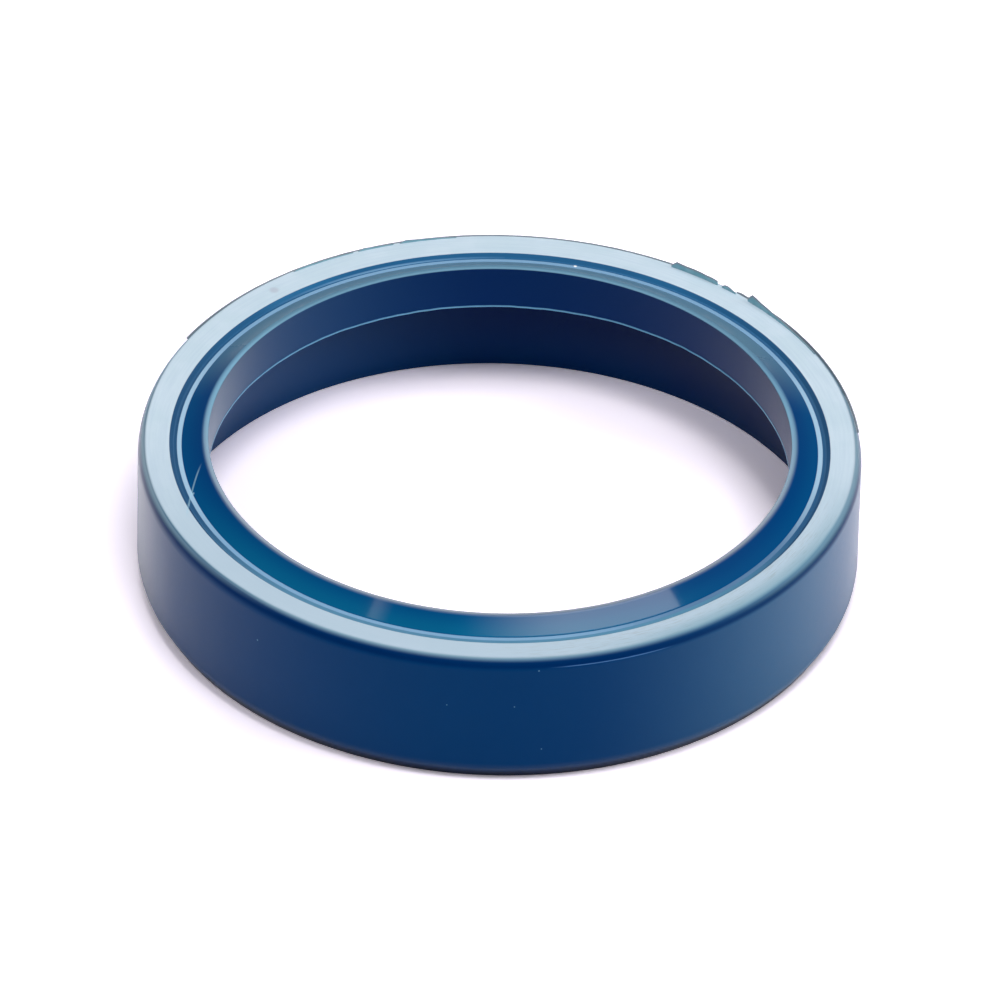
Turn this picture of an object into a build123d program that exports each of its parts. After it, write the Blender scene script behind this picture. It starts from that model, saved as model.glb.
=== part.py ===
from build123d import *
from math import radians, tan
import os

os.makedirs("parts", exist_ok=True)

# A U-cup seal for a 45 mm rod in a 55 mm bore, moulded in one piece, in mm.
# It lies heel up and stands on its outer lip. The cup opens downwards, between
# that long outer lip and the short inner lip that wipes the rod. The axis is Z.

# the groove that the seal fills, and how tall the seal stands
housing_bore_dia = 55.0
section_width = 5.0
ring_height = 11.2

# outer lip: it thins from its root to the foot, which is bevelled outside
outer_lip_root = 2.2
foot_width = 0.84
foot_bevel_width = 0.75
foot_bevel_height = 1.3
foot_bevel_round = 1.2
foot_edge_round = 0.12

# heel: a flat land, a narrow groove beside it, a small ledge, and a gentle
# cone that climbs to a narrow crest, which falls slightly towards the rod
heel_edge_round = 0.7
land_width = 2.39
land_edge_round = 0.06
groove_width = 0.58
groove_depth = 0.32
groove_round = 0.14
ledge_width = 0.35
ledge_drop = 0.2
crest_width = 0.4
crest_rise = 0.66
crest_drop = 0.07
crest_edge_round = 0.08
crest_bore_round = 0.05

# inner lip: it squeezes the rod, ends in a slanted knife cut, and its sealing
# edge is the cut's upper, inner corner
rod_squeeze = 0.35
sealing_edge_depth = 3.0
lip_tip_width = 0.7
lip_cut_deg = 30.0
lip_tip_round = 0.1
inner_lip_root = 1.15

# cup channel between the two lips, closed by the web under the heel
web_thickness = 1.9
channel_round = 0.85

outer_r = housing_bore_dia / 2
bore_r = outer_r - section_width - rod_squeeze
foot_outer_r = outer_r - foot_bevel_width
foot_inner_r = foot_outer_r - foot_width

land_z = ring_height
groove_outer_r = outer_r - land_width
groove_inner_r = groove_outer_r - groove_width
ledge_inner_r = groove_inner_r - ledge_width
ledge_z = land_z - ledge_drop
crest_outer_r = bore_r + crest_width
crest_z = land_z + crest_rise

sealing_edge_z = land_z - sealing_edge_depth
lip_tip_r = bore_r + lip_tip_width
lip_tip_z = sealing_edge_z - lip_tip_width * tan(radians(lip_cut_deg))
channel_root_z = land_z - web_thickness
channel_inner_r = bore_r + inner_lip_root
channel_outer_r = outer_r - outer_lip_root
root_round = min(channel_round, 0.45 * (channel_outer_r - channel_inner_r))

# the section's corners, each with its radius, height and rounding
corners = [
    (foot_inner_r, 0, foot_edge_round),
    (foot_outer_r, 0, foot_edge_round),
    (outer_r, foot_bevel_height, foot_bevel_round),
    (outer_r, land_z, heel_edge_round),
    (groove_outer_r, land_z, land_edge_round),
    ((groove_outer_r + groove_inner_r) / 2, land_z - groove_depth, groove_round),
    (groove_inner_r, ledge_z, land_edge_round),
    (ledge_inner_r, ledge_z, 0),
    (crest_outer_r, crest_z, crest_edge_round),
    (bore_r, crest_z - crest_drop, crest_bore_round),
    (bore_r, sealing_edge_z, 0),
    (lip_tip_r, lip_tip_z, lip_tip_round),
    (channel_inner_r, channel_root_z, root_round),
    (channel_outer_r, channel_root_z, root_round),
]

with BuildPart() as ring:
    with BuildSketch(Plane.XZ):
        with BuildLine():
            points = [(radius, height) for radius, height, rounding in corners]
            FilletPolyline(points, radius=[corner[2] for corner in corners], close=True)
        make_face()
    revolve(axis=Axis.Z)

seal_ring = ring.part
seal_ring.label = "seal_ring"
export_step(seal_ring, "parts/seal_ring.step")
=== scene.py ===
from math import atan2, cos, pi, radians, sin, tan

import bmesh
import bpy
from mathutils import Matrix, Vector, noise


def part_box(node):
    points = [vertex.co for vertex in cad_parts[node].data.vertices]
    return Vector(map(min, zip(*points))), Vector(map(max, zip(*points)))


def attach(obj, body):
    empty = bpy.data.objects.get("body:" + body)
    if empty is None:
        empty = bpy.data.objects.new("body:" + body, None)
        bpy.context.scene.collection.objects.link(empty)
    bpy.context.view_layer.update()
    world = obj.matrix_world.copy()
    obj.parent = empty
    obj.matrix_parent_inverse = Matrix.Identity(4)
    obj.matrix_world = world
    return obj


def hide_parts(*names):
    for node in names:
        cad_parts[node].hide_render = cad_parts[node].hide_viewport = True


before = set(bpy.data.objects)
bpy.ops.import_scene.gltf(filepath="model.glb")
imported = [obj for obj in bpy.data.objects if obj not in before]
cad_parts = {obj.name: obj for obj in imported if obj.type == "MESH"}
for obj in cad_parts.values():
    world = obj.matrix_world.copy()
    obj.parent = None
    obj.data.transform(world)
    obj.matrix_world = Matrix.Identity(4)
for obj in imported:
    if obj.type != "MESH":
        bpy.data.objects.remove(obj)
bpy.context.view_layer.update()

# ---- the seal ring -------------------------------------------------------
# One ring of petrol-blue polyurethane, injection moulded heel up. The heel's
# flat land was trimmed with a knife after moulding, and so was the inner
# lip's sealing edge. It is a turned section, so it is spun from its corners.

mm = 0.001
outer_r, _, crest_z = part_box("seal_ring")[1]
land_z = crest_z - 0.66 * mm
bore_r = outer_r - 5.35 * mm

groove_outer_r = outer_r - 2.39 * mm
groove_inner_r = groove_outer_r - 0.58 * mm
groove_middle_r = (groove_outer_r + groove_inner_r) / 2
ledge_inner_r = groove_inner_r - 0.35 * mm
ledge_z = land_z - 0.2 * mm
crest_outer_r = bore_r + 0.4 * mm
sealing_edge_z = land_z - 3.0 * mm
bead_r = bore_r - 0.04 * mm
lip_tip_r = bore_r + 0.7 * mm
channel_root_z = land_z - 1.9 * mm
channel_inner_r = bore_r + 1.15 * mm
channel_outer_r = outer_r - 2.2 * mm
foot_outer_r = outer_r - 0.75 * mm
foot_inner_r = foot_outer_r - 0.84 * mm
heel_round = 0.7 * mm

# each corner: radius, height, rounding and the number of steps round it
section = [
    (foot_inner_r, 0, 0.12 * mm, 3),
    (foot_outer_r, 0, 0.12 * mm, 3),
    (outer_r, 1.3 * mm, 1.2 * mm, 6),
    (outer_r, land_z, heel_round, 10),
    (groove_outer_r, land_z, 0.06 * mm, 3),
    (groove_middle_r, land_z - 0.32 * mm, 0.14 * mm, 5),
    (groove_inner_r, ledge_z, 0.06 * mm, 3),
    (ledge_inner_r, ledge_z, 0, 0),
    (crest_outer_r, crest_z, 0.08 * mm, 4),
    (bore_r, crest_z - 0.07 * mm, 0.05 * mm, 3),
    (bore_r, sealing_edge_z + 0.16 * mm, 0, 0),
    (bead_r, sealing_edge_z + 0.1 * mm, 0, 0),
    (bead_r, sealing_edge_z, 0.02 * mm, 2),
    (lip_tip_r, sealing_edge_z - 0.7 * mm * tan(radians(30)), 0.1 * mm, 3),
    (channel_inner_r, channel_root_z, 0.85 * mm, 6),
    (channel_outer_r, channel_root_z, 0.85 * mm, 6),
]

bm = bmesh.new()
corners = [bm.verts.new((radius, 0, height)) for radius, height, rounding, steps in section]
bm.faces.new(corners)
places = [corner.co.copy() for corner in corners]
for index, (radius, height, rounding, steps) in enumerate(section):
    if rounding == 0:
        continue
    here = places[index]
    before = (places[index - 1] - here).normalized()
    after = (places[(index + 1) % len(places)] - here).normalized()
    turn = pi - before.angle(after)
    bmesh.ops.bevel(
        bm, geom=[corners[index]], offset=rounding * tan(turn / 2), offset_type="OFFSET",
        affect="VERTICES", segments=steps, profile=0.5, material=-1)
bmesh.ops.delete(bm, geom=bm.faces[:], context="FACES_ONLY")
# a point close to each end of every straight run keeps that run flat when shaded
margin = 0.03 * mm
for edge in [edge for edge in bm.edges if edge.calc_length() > 4 * margin]:
    near_vert, far_vert = edge.verts
    new_vert = bmesh.utils.edge_split(edge, near_vert, margin / edge.calc_length())[1]
    rest = max(new_vert.link_edges, key=lambda piece: piece.calc_length())
    bmesh.utils.edge_split(rest, far_vert, margin / rest.calc_length())
turns = 540
bmesh.ops.spin(
    bm, geom=bm.verts[:] + bm.edges[:], cent=(0, 0, 0), axis=(0, 0, 1), dvec=(0, 0, 0),
    angle=2 * pi, steps=turns, use_merge=True, use_duplicate=False)
bmesh.ops.remove_doubles(bm, verts=bm.verts, dist=0.001 * mm)
bmesh.ops.recalc_face_normals(bm, faces=bm.faces)


def wander(bearing, waves, seed):
    """A smooth random value from -1 to 1 that closes on itself round the ring."""
    return noise.noise((waves * sin(bearing), waves * cos(bearing), seed))


# The knife left a broad rounding in front and next to none behind, and it
# wandered a little along the sealing edge.
for vert in bm.verts:
    bearing = atan2(vert.co.x, vert.co.y)
    reach = vert.co.xy.length
    if reach > outer_r - heel_round - 1.2 * margin and vert.co.z > land_z - heel_round - 1.2 * margin:
        behind = cos(bearing)
        across = 0.95 - 0.75 * behind if behind > 0 else 0.95 - 0.2 * behind
        across += 0.05 * wander(bearing, 9, 3)
        down = 1.2 - 0.95 * behind if behind > 0 else 1.2
        down += 0.35 * max(0, -sin(bearing)) * (1 - max(0, behind))
        new_reach = outer_r + (reach - outer_r) * across
        vert.co.x *= new_reach / reach
        vert.co.y *= new_reach / reach
        vert.co.z = land_z + (vert.co.z - land_z) * down
    if reach < bore_r + 0.01 * mm and abs(vert.co.z - sealing_edge_z) < 0.2 * mm:
        vert.co.z += (0.05 * wander(bearing, 7, 5) + 0.03 * wander(bearing, 22, 8)) * mm

cut = bm.verts.layers.float.new("cut")
for vert in bm.verts:
    if vert.co.xy.length < bead_r + 0.01 * mm:
        vert[cut] = 1.0
for face in bm.faces:
    face.smooth = True
for edge in bm.edges:
    if edge.calc_face_angle(0) > radians(35):
        edge.smooth = False

ring_mesh = bpy.data.meshes.new("seal_ring_skin")
bm.to_mesh(ring_mesh)
bm.free()
ring = bpy.data.objects.new("seal_ring_skin", ring_mesh)
bpy.context.scene.collection.objects.link(ring)
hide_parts("seal_ring")
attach(ring, "root")

urethane = bpy.data.materials.new("petrol blue polyurethane")
urethane.use_nodes = True
nodes = urethane.node_tree.nodes
links = urethane.node_tree.links
shader = nodes["Principled BSDF"]
# both are below the plastic's own gloss, which keeps the blue deep
shader.inputs["IOR"].default_value = 1.27
shader.inputs["Specular Tint"].default_value = (0.0, 0.3, 0.6, 1)
shader.inputs["Coat IOR"].default_value = 1.5
shader.inputs["Coat Roughness"].default_value = 0.06


def node(kind, **values):
    made = nodes.new(kind)
    for name, value in values.items():
        setattr(made, name, value)
    return made


def wire(value, socket):
    if isinstance(value, (int, float, tuple)):
        socket.default_value = value
    else:
        links.new(value, socket)


def calc(operation, *inputs, clamp=False):
    made = node("ShaderNodeMath", operation=operation, use_clamp=clamp)
    for socket, value in zip(made.inputs, inputs):
        wire(value, socket)
    return made.outputs[0]


def times(first, *others):
    for other in others:
        first = calc("MULTIPLY", first, other)
    return first


def between(value, low, high, to_low=0.0, to_high=1.0, curve="SMOOTHSTEP"):
    """A ramp from to_low to to_high as the value goes from low to high."""
    made = node("ShaderNodeMapRange", interpolation_type=curve)
    links.new(value, made.inputs["Value"])
    for name, number in (("From Min", low), ("From Max", high), ("To Min", to_low), ("To Max", to_high)):
        made.inputs[name].default_value = number
    return made.outputs["Result"]


def zone(value, low, high, soft=0.03 * mm):
    """1 where the value lies between low and high, with soft ends."""
    return times(between(value, low - soft, low + soft), between(value, high - soft, high + soft, 1.0, 0.0))


def blend(factor, first, second):
    made = node("ShaderNodeMix", data_type="RGBA")
    wire(factor, made.inputs["Factor"])
    wire(first, made.inputs["A"])
    wire(second, made.inputs["B"])
    return made.outputs["Result"]


def spot(x, y, z, radius):
    """A round mark of the given radius about a point, all in millimetres."""
    made = node("ShaderNodeVectorMath", operation="DISTANCE")
    links.new(coords, made.inputs[0])
    made.inputs[1].default_value = (x * mm, y * mm, z * mm)
    return between(made.outputs["Value"], 0.4 * radius * mm, 1.3 * radius * mm, 1.0, 0.0)


def cloud(vector, size, detail=2.0):
    made = node("ShaderNodeTexNoise")
    links.new(vector, made.inputs["Vector"])
    made.inputs["Scale"].default_value = 1 / size
    made.inputs["Detail"].default_value = detail
    return made.outputs["Fac"]


coords = node("ShaderNodeTexCoord").outputs["Object"]
split = node("ShaderNodeSeparateXYZ")
links.new(coords, split.inputs[0])
east = split.outputs["X"]
north = split.outputs["Y"]
height = split.outputs["Z"]
reach = calc("SQRT", calc("ADD", times(east, east), times(north, north)))
# the bearing is 0 in front, positive to the right, and 180 degrees behind
bearing = calc("ARCTAN2", east, times(north, -1.0))
bearing_cos = calc("COSINE", bearing)


def facing(middle_deg, half_deg, soft_deg=8.0):
    """1 on the stretch of the ring about a bearing, with soft ends."""
    low, high = radians(middle_deg - half_deg), radians(middle_deg + half_deg)
    return zone(bearing, low, high, radians(soft_deg))


# knife-cut faces are pale and matt; moulded faces are dark and half glossy
drop = calc("SUBTRACT", land_z, height)
side_on = calc("ABSOLUTE", calc("SINE", bearing))
in_front = between(bearing_cos, -0.2, 0.7)
behind = between(bearing_cos, -0.2, -0.8)
outside = between(reach, groove_outer_r - 0.02 * mm, groove_outer_r + 0.04 * mm)
fade_depth = calc("ADD", 0.14 * mm, times(in_front, 0.16 * mm))
edge_fade = calc("POWER", calc("SUBTRACT", 1.0, calc("DIVIDE", drop, fade_depth), clamp=True), 2.6)
# on the left and right the land's pale, matt finish runs a little way down the heel's rounding
land_down_sides = times(between(side_on, 0.55, 1.0, 0.0, 0.55), between(drop, 0.1 * mm, 0.45 * mm, 1.0, 0.0))
on_land = times(outside, calc("MAXIMUM", edge_fade, land_down_sides))
ledge_mask = times(
    zone(reach, ledge_inner_r, groove_inner_r), between(drop, 0.22 * mm, 0.26 * mm, 1.0, 0.0),
    calc("SUBTRACT", between(side_on, 0.85, 1.0, 0.66, 0.92), times(facing(50, 24, 14), 0.36)))
crest_mask = times(
    between(calc("ADD", reach, times(behind, 0.24 * mm)), bore_r + 0.12 * mm, bore_r + 0.6 * mm, 1.0, 0.0),
    between(height, crest_z - 0.14 * mm, crest_z - 0.05 * mm),
    calc("SUBTRACT", 0.9, times(facing(122, 12, 16), 0.4)))
groove_mask = times(
    zone(reach, groove_inner_r, groove_outer_r), between(drop, 0.4 * mm, 0.5 * mm, 1.0, 0.0))
cut_and_highlight = node("ShaderNodeAttribute", attribute_name="cut").outputs["Fac"]

# the land carries fine streaks along the knife's path and a faint mottle
grooved = node("ShaderNodeCombineXYZ")
links.new(reach, grooved.inputs["X"])
links.new(times(east, 0.04), grooved.inputs["Y"])
links.new(times(north, 0.04), grooved.inputs["Z"])
streak = cloud(grooved.outputs[0], 0.16 * mm, 3.0)
mottle = cloud(coords, 3.2 * mm, 3.0)
grain = cloud(coords, 0.35 * mm, 3.0)
flecks = times(between(cloud(grooved.outputs[0], 0.05 * mm, 4.0), 0.52, 0.66), facing(38, 34, 14))
# towards its outer edge at the front right the land turns teal
teal_land_edge = times(
    between(reach, groove_outer_r + 0.4 * mm, outer_r - 0.5 * mm),
    facing(48, 24, 14))
land_colour = blend(between(mottle, 0.38, 0.62), (0.515, 0.635, 0.72, 1), (0.55, 0.66, 0.75, 1))
land_colour = blend(times(between(streak, 0.35, 0.7), 0.3), land_colour, (0.42, 0.54, 0.66, 1))
land_colour = blend(times(in_front, 0.75), land_colour, (0.39, 0.50, 0.60, 1))
land_colour = blend(times(flecks, 0.5), land_colour, (0.32, 0.36, 0.38, 1))
land_colour = blend(times(teal_land_edge, 0.75), land_colour, (0.20, 0.35, 0.44, 1))
land_colour = blend(between(drop, 0.0, 0.06 * mm, 0.0, 0.8), land_colour, (0.24, 0.42, 0.50, 1))
edge_line = times(zone(drop, 0.03 * mm, 0.08 * mm, 0.02 * mm), facing(-72, 30, 14))
land_colour = blend(times(edge_line, 0.7), land_colour, (0.10, 0.22, 0.30, 1))
ledge_colour = blend(between(side_on, 0.8, 1.0), (0.28, 0.50, 0.72, 1), (0.36, 0.54, 0.70, 1))
crest_colour = blend(between(bearing_cos, -0.3, 0.6), (0.20, 0.40, 0.54, 1), (0.34, 0.39, 0.46, 1))

# the real part is one blue all round. The masks below stand in for reflections
# and soft shade: deeper in the bore, paler on the wall's left and right, and
# deepest just below the land in front
blue_and_painted_light = blend(between(mottle, 0.3, 0.7), (0.0003, 0.036, 0.14, 1), (0.0003, 0.042, 0.15, 1))
in_bore = times(
    between(reach, bore_r + 0.03 * mm, bore_r + 0.08 * mm, 1.0, 0.0),
    between(height, sealing_edge_z, sealing_edge_z + 0.2 * mm))
on_left = between(east, -22 * mm, 0.0, 1.0, 0.0)
# painted shade on the bore's right and a painted reflection on its left
bore_painted_light = blend(on_left, (0.0002, 0.014, 0.095, 1), (0.006, 0.05, 0.16, 1))
blue_and_painted_light = blend(in_bore, blue_and_painted_light, bore_painted_light)
wall = between(reach, outer_r - 1.5 * mm, outer_r - 1.2 * mm)
painted_shade_below_land = times(zone(drop, 0.15 * mm, 0.65 * mm, 0.15 * mm), wall, between(bearing_cos, -0.1, 0.2))
blue_and_painted_light = blend(times(wall, 0.9), blue_and_painted_light, (0.0003, 0.030, 0.122, 1))
# painted light on the wall: paler teal to the right, and pale painted reflections at its left and right
# edges
blue_and_painted_light = blend(times(facing(60, 22, 26), wall), blue_and_painted_light, (0.025, 0.105, 0.225, 1))
blue_and_painted_light = blend(times(wall, facing(-83, 8, 15)), blue_and_painted_light, (0.27, 0.28, 0.34, 1))
blue_and_painted_light = blend(times(wall, facing(90, 5, 16), 0.5), blue_and_painted_light, (0.24, 0.27, 0.34, 1))
# painted shade just below the land in front
blue_and_painted_light = blend(times(painted_shade_below_land, 0.75), blue_and_painted_light, (0.0002, 0.016, 0.09, 1))

# a stand-in too: the cone pales down its slope in front and greys behind
cone = times(
    between(height, ledge_z - 0.02 * mm, ledge_z + 0.05 * mm),
    between(reach, ledge_inner_r, ledge_inner_r + 0.05 * mm, 1.0, 0.0),
    between(reach, bore_r + 0.02 * mm, bore_r + 0.1 * mm))
down_cone = between(reach, bore_r + 0.4 * mm, ledge_inner_r)
cone_blue_and_painted_light = blend(down_cone, (0.0005, 0.043, 0.165, 1), (0.0005, 0.062, 0.195, 1))
cone_blue_and_painted_light = blend(
    times(facing(-15, 48, 18), calc("ADD", 0.3, times(down_cone, 0.7))), cone_blue_and_painted_light, (0.002, 0.10, 0.22, 1))
far_cone = between(bearing_cos, -0.18, -0.62)
cone_blue_and_painted_light = blend(times(far_cone, 0.95), cone_blue_and_painted_light, (0.095, 0.20, 0.29, 1))
blue_and_painted_light = blend(cone, blue_and_painted_light, cone_blue_and_painted_light)

# a stand-in too: nearly black on the cup's right and at the wall's foot, with
# a pale stretch on the cup's left and another on the bore's
in_cup = times(
    between(reach, outer_r - 2.0 * mm, outer_r - 1.2 * mm, 1.0, 0.0),
    between(height, sealing_edge_z - 0.9 * mm, sealing_edge_z - 0.3 * mm, 1.0, 0.0))
cup_painted_light = blend(on_left, (0.0, 0.0, 0.05, 1), (0.008, 0.05, 0.17, 1))
cup_painted_light = blend(facing(-82, 28, 18), cup_painted_light, (0.22, 0.24, 0.30, 1))
blue_and_painted_light = blend(in_cup, blue_and_painted_light, cup_painted_light)
foot_shade = between(height, 0.3 * mm, 1.2 * mm, 1.0, 0.0)
blue_and_painted_light = blend(times(wall, foot_shade), blue_and_painted_light, (0.0002, 0.004, 0.03, 1))
blue_and_painted_light = blend(times(facing(-95, 18, 16), in_bore, 0.6), blue_and_painted_light, (0.11, 0.17, 0.26, 1))

# the cut faces, and the groove between them, lie over the blue
groove_line = times(
    zone(reach, groove_middle_r - 0.08 * mm, groove_middle_r + 0.08 * mm), facing(-158, 12, 16))
groove_front = between(bearing_cos, 0.35, 0.85, 0.25, 0.9)
colour = blend(times(groove_mask, groove_front), blue_and_painted_light, (0.10, 0.25, 0.37, 1))
colour = blend(times(groove_mask, behind, 0.7), colour, (0.02, 0.12, 0.27, 1))
colour = blend(times(groove_line, groove_mask, 0.8), colour, (0.17, 0.33, 0.52, 1))
colour = blend(on_land, colour, land_colour)
colour = blend(ledge_mask, colour, ledge_colour)
colour = blend(crest_mask, colour, crest_colour)
# paler along the sealing edge: partly its knife cut, partly a painted highlight where the edge catches the
# light
colour = blend(cut_and_highlight, colour, (0.15, 0.37, 0.60, 1))
frosted = calc("MAXIMUM", on_land, calc("MAXIMUM", ledge_mask, crest_mask))

# marks of use: a nick across the ledge, dust specks on the wall and one rub mark
# on the land behind; also a long pale line below the heel's edge in front and a small white spot on the
# ledge behind
nick_slant = 11.4 * mm  # how far the nick runs outwards in a radian
nick_place = calc("SUBTRACT", reach, times(bearing, nick_slant))
nick_line = zone(nick_place, 38.74 * mm, 38.88 * mm, 0.05 * mm)
nick = calc(
    "MAXIMUM", times(nick_line, zone(bearing, radians(-78.7), radians(-67.2), radians(1.5)), 0.5),
    times(spot(-23.14, -7.08, 11.05, 0.16), 0.7))
pale_arc = times(zone(drop, 0.61 * mm, 0.67 * mm, 0.04 * mm), facing(19, 8, 3), wall)
# each speck and spot: x, y, z and radius in millimetres
specks = [
    (3.34, -27.3, 10.34, 0.07), (-3.47, -27.3, 6.94, 0.06), (1.58, -27.45, 7.04, 0.06),
    (3.68, -27.25, 3.01, 0.06), (-17.79, -20.97, 7.79, 0.07)]
dust = spot(*specks[0])
for speck in specks[1:]:
    dust = calc("MAXIMUM", dust, spot(*speck))
colour = blend(times(pale_arc, 0.8), colour, (0.09, 0.22, 0.50, 1))
colour = blend(nick, colour, (0.32, 0.55, 0.68, 1))
colour = blend(times(dust, 0.6), colour, (0.16, 0.34, 0.50, 1))
colour = blend(spot(5.47, 23.87, 11.0, 0.14), colour, (0.95, 0.95, 0.95, 1))
colour = blend(times(spot(-17.69, 19.38, 11.2, 0.4), 0.5), colour, (0.40, 0.41, 0.50, 1))
links.new(colour, shader.inputs["Base Color"])

# moulded faces are glossy and cut ones frosted. The wall, the bore and the cone
# behind are set duller than the plastic is, so that reflections stay soft
dull = calc("MAXIMUM", calc("MAXIMUM", wall, in_bore), times(cone, far_cone))
rough = calc("MAXIMUM", between(frosted, 0.0, 1.0, 0.15, 0.36), times(dull, 0.31))
links.new(calc("ADD", rough, times(grain, 0.04)), shader.inputs["Roughness"])

# a stand-in too: the gloss coat mirrors the lamps only in front, to the right
# of the cone's middle and in one narrow patch to the left
on_cone = times(
    between(height, ledge_z + 0.03 * mm, ledge_z + 0.08 * mm), zone(reach, bore_r, ledge_inner_r),
    between(bearing_cos, 0.3, 0.7),
    calc("MAXIMUM", between(bearing, radians(-7), radians(14), 0.0, 0.85), facing(-23, 1.5, 2.5)))
links.new(on_cone, shader.inputs["Coat Weight"])

waviness = calc("ADD", times(cloud(coords, 2.5 * mm, 1.0), 0.006 * mm), times(grain, 0.0006 * mm))
bump = node("ShaderNodeBump")
bump.inputs["Distance"].default_value = 1.0
links.new(waviness, bump.inputs["Height"])
links.new(bump.outputs["Normal"], shader.inputs["Normal"])
ring_mesh.materials.append(urethane)

# ---- trim flash ----------------------------------------------------------
# Thin scraps of moulding flash that the knife missed along the back of the
# heel's outer edge. They are the ring's own polyurethane, thin enough to be
# paler than the ring.

flash_step = radians(0.5)
fin_top_z = land_z + 1.0 * mm
fin_root_z = land_z - 0.15 * mm


def flash_scrap(flash, start_deg, end_deg, root_r, thickness):
    """A fin of even height above the land, from one bearing to another."""
    start, end = radians(start_deg), radians(end_deg)
    wedge = [
        flash.verts.new((0, root_r + thickness, fin_root_z)),
        flash.verts.new((0, root_r + thickness, land_z)),
        flash.verts.new((0, root_r + 0.6 * thickness, fin_top_z)),
        flash.verts.new((0, root_r + 0.2 * thickness, fin_top_z)),
        flash.verts.new((0, root_r, land_z)),
        flash.verts.new((0, root_r, fin_root_z)),
    ]
    face = flash.faces.new(wedge)
    turned = Matrix.Rotation(-start, 3, "Z")
    bmesh.ops.transform(flash, matrix=turned.to_4x4(), verts=wedge)
    bmesh.ops.spin(
        flash, geom=[face], cent=(0, 0, 0), axis=(0, 0, 1), dvec=(0, 0, 0),
        angle=start - end, steps=int((end - start) / flash_step), use_merge=False, use_duplicate=False)


# start and end bearing from behind in degrees, height at each, how fast it
# tapers, distance in from the edge, thickness and a seed, with lengths in
# millimetres: three scraps, three slivers, one tooth and a burr in two runs
flash = bmesh.new()
rim = flash.verts.layers.float.new("rim")
scraps = [
    (28.4, 37.4, 0.62, 0.42, 1.0, 0.42, 0.09, 1),
    (38.3, 41.2, 0.58, 0.12, 1.0, 0.42, 0.09, 2),
    (43.9, 62.0, 0.85, 0.1, 2.4, 0.42, 0.09, 3),
    (-36.6, -25.5, 0.2, 0.06, 1.0, 0.3, 0.09, 4),
    (-24.6, -18.5, 0.24, 0.08, 1.0, 0.3, 0.09, 5),
    (-17.4, -8.0, 0.26, 0.08, 1.0, 0.3, 0.09, 6),
    (72.4, 73.6, 0.3, 0.12, 1.0, 0.2, 0.12, 9),
    (-62.0, 29.0, 0.06, 0.1, 1.0, 0.17, 0.12, 7),
    (41.0, 84.0, 0.14, 0.06, 1.0, 0.17, 0.12, 8),
]
for start_deg, end_deg, first_height, last_height, taper, inset, thickness, seed in scraps:
    flash_scrap(flash, start_deg, end_deg, outer_r - inset * mm, thickness * mm)
    start, end = radians(start_deg), radians(end_deg)
    for vert in flash.verts:
        bearing_here = atan2(vert.co.x, vert.co.y)
        if vert.co.z > land_z + 0.9 * mm:
            along = min(max((bearing_here - start) / (end - start), 0), 1)
            rise = min(along * (end - start) / radians(0.9), 1)
            tall = last_height + (first_height - last_height) * (1 - along) ** taper
            tall *= 0.25 + 0.75 * rise
            tall *= 1 + 0.18 * wander(bearing_here, 30, seed)
            vert.co.z = land_z + tall * mm
            vert[rim] = 1.0
        if vert.co.xy.length > outer_r - 0.25 * mm:
            vert[rim] = 1.0
bmesh.ops.recalc_face_normals(flash, faces=flash.faces)
for face in flash.faces:
    face.smooth = True
for edge in flash.edges:
    if edge.calc_face_angle(0) > radians(35):
        edge.smooth = False
flash_mesh = bpy.data.meshes.new("trim_flash")
flash.to_mesh(flash_mesh)
flash.free()
flash_piece = bpy.data.objects.new("trim_flash", flash_mesh)
bpy.context.scene.collection.objects.link(flash_piece)
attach(flash_piece, "root")

thin_urethane = bpy.data.materials.new("thin polyurethane")
thin_urethane.use_nodes = True
nodes = thin_urethane.node_tree.nodes
links = thin_urethane.node_tree.links
shader = nodes["Principled BSDF"]
shader.inputs["IOR"].default_value = 1.47
ragged = cloud(node("ShaderNodeTexCoord").outputs["Object"], 0.8 * mm, 3.0)
thin_colour = blend(between(ragged, 0.35, 0.65), (0.16, 0.38, 0.47, 1), (0.24, 0.46, 0.55, 1))
at_rim = node("ShaderNodeAttribute", attribute_name="rim").outputs["Fac"]
thin_colour = blend(between(at_rim, 0.6, 0.9), thin_colour, (0.26, 0.30, 0.34, 1))
links.new(thin_colour, shader.inputs["Base Color"])
links.new(between(ragged, 0.3, 0.7, 0.3, 0.5), shader.inputs["Roughness"])
flash_mesh.materials.append(thin_urethane)

# ---- floor ---------------------------------------------------------------
# A plain white sweep. The camera and the ring's gloss both see it brighter than
# white paint, all but the strip that the foot mirrors, so it stays white where
# no shadow falls.

bpy.ops.mesh.primitive_plane_add(size=6)
floor = bpy.context.object
floor.name = "floor"
floor_paint = bpy.data.materials.new("white sweep")
floor_paint.use_nodes = True
nodes = floor_paint.node_tree.nodes
links = floor_paint.node_tree.links
shader = nodes["Principled BSDF"]
shader.inputs["Roughness"].default_value = 0.9
shader.inputs["Specular IOR Level"].default_value = 0.0
rays = node("ShaderNodeLightPath").outputs

middle_distance = node("ShaderNodeVectorMath", operation="LENGTH")
links.new(node("ShaderNodeTexCoord").outputs["Object"], middle_distance.inputs[0])
from_middle = middle_distance.outputs["Value"]
past_wall = between(from_middle, outer_r - 0.2 * mm, outer_r + 1.5 * mm, curve="LINEAR")
inside_ring = between(from_middle, foot_inner_r, foot_inner_r - 1.5 * mm, curve="LINEAR")
gloss = times(rays["Is Glossy Ray"], calc("MAXIMUM", past_wall, inside_ring))
mirrored = blend(gloss, (0.85, 0.85, 0.86, 1), (1.68, 1.64, 1.76, 1))
seen = blend(rays["Is Camera Ray"], mirrored, (1.46, 1.36, 1.50, 1))
links.new(seen, shader.inputs["Base Color"])
floor.data.materials.append(floor_paint)

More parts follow.
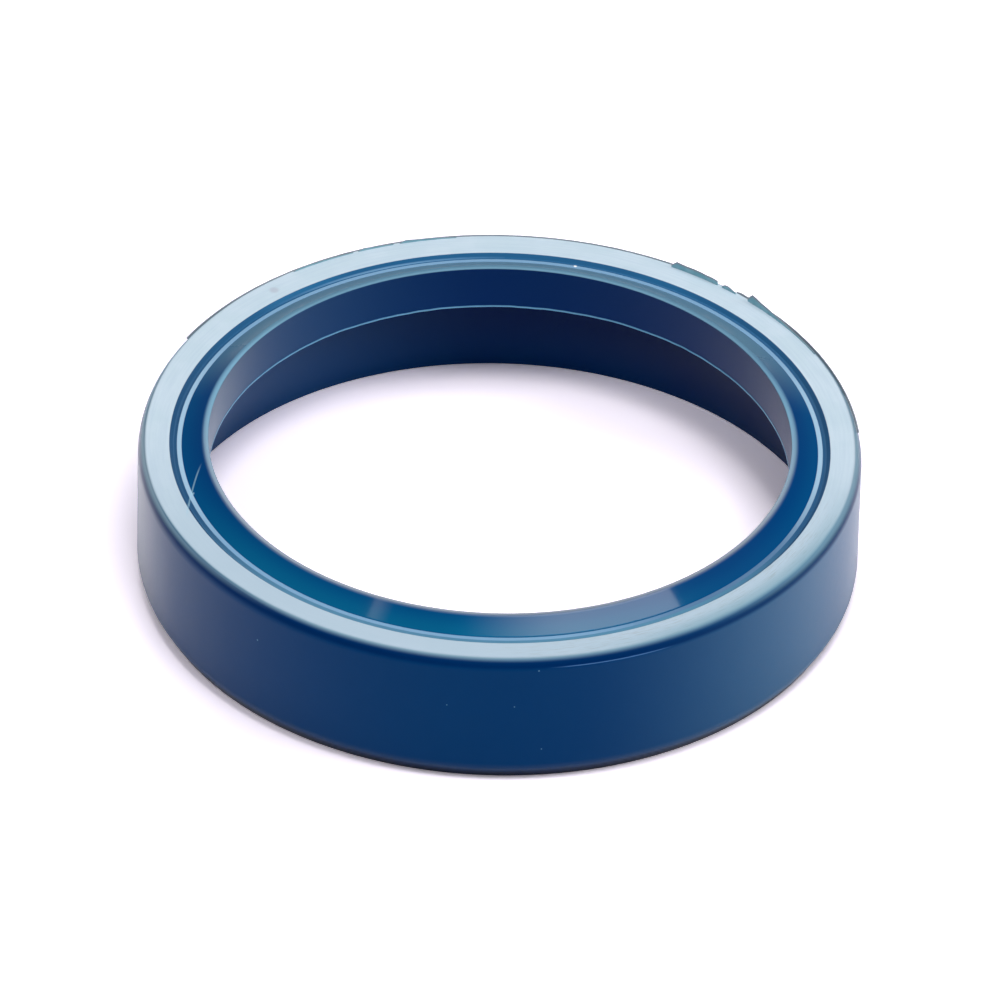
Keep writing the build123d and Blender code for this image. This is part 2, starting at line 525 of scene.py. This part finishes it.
# ---- light ---------------------------------------------------------------
# Soft boxes: two behind, of which the flat faces mirror the lower, one above
# with a small lamp beside it for the cone, a wide sheet and a high box in
# front, and one on each side. The world fills in.


def soft_box(name, place, width, depth, watts, along=(1, 0, 0)):
    lamp = bpy.data.lights.new(name, "AREA")
    lamp.shape = "RECTANGLE"
    lamp.size = width
    lamp.size_y = depth
    lamp.energy = watts
    box = bpy.data.objects.new(name, lamp)
    back = Vector(place).normalized()
    side = Vector(along)
    side = (side - side.dot(back) * back).normalized()
    turn = Matrix((side, back.cross(side), back)).transposed().to_4x4()
    box.matrix_world = Matrix.Translation(place) @ turn
    bpy.context.scene.collection.objects.link(box)


def from_ring(turn_deg, rise_deg, distance):
    turn, rise = radians(turn_deg), radians(rise_deg)
    return (distance * cos(rise) * sin(turn), distance * cos(rise) * cos(turn), distance * sin(rise))


soft_box("back box", from_ring(4, 38, 0.65), 0.40, 0.16, 0.2)
soft_box("high back box", from_ring(-22, 58, 0.8), 0.3, 0.3, 1.15)
soft_box("top box", (0.126, -0.004, 0.6), 0.40, 0.14, 0.66, along=(0.35, 0.13, 0))
soft_box("small lamp", (-0.199, 0.001, 0.6), 0.035, 0.07, 0.012)
soft_box("front sheet", from_ring(175, 38, 1.2), 1.2, 0.8, 3.3)
soft_box("high front box", from_ring(150, 72, 0.8), 0.3, 0.2, 1.9)
soft_box("right box", from_ring(102, 36, 0.8), 0.3, 0.3, 2.0, along=(0.2, 0.98, 0))
soft_box("left box", from_ring(-112, 50, 0.8), 0.3, 0.3, 1.2, along=(-0.37, 0.93, 0))

fill_level = 0.08
world = bpy.data.worlds.new("studio")
bpy.context.scene.world = world
world.use_nodes = True
nodes = world.node_tree.nodes
links = world.node_tree.links
background = nodes["Background"]
background.inputs["Color"].default_value = (1, 1, 1, 1)
camera_ray = node("ShaderNodeLightPath").outputs["Is Camera Ray"]
links.new(between(camera_ray, 0.0, 1.0, fill_level, 1.0, curve="LINEAR"), background.inputs["Strength"])

# ---- camera --------------------------------------------------------------
# A long lens from far in front, so that the ring shows with hardly any
# perspective, and a slight roll, as the ring lies in the picture.

lens_distance = 1.1
lens_elevation = radians(36.156)
camera_data = bpy.data.cameras.new("camera")
camera_data.sensor_width = 36
camera_data.lens = 521.37
camera_data.clip_end = 20
camera = bpy.data.objects.new("camera", camera_data)
camera.location = (0, -lens_distance * cos(lens_elevation), land_z + lens_distance * sin(lens_elevation))
aim = Vector((0.11 * mm, 0, land_z - 5.246 * mm))
turn_to_aim = (aim - camera.location).to_track_quat("-Z", "Y")
roll = Matrix.Rotation(radians(1.47), 4, "Z")
camera.matrix_world = Matrix.Translation(camera.location) @ turn_to_aim.to_matrix().to_4x4() @ roll
bpy.context.scene.collection.objects.link(camera)
bpy.context.scene.camera = camera

bpy.context.scene.view_settings.view_transform = "Standard"
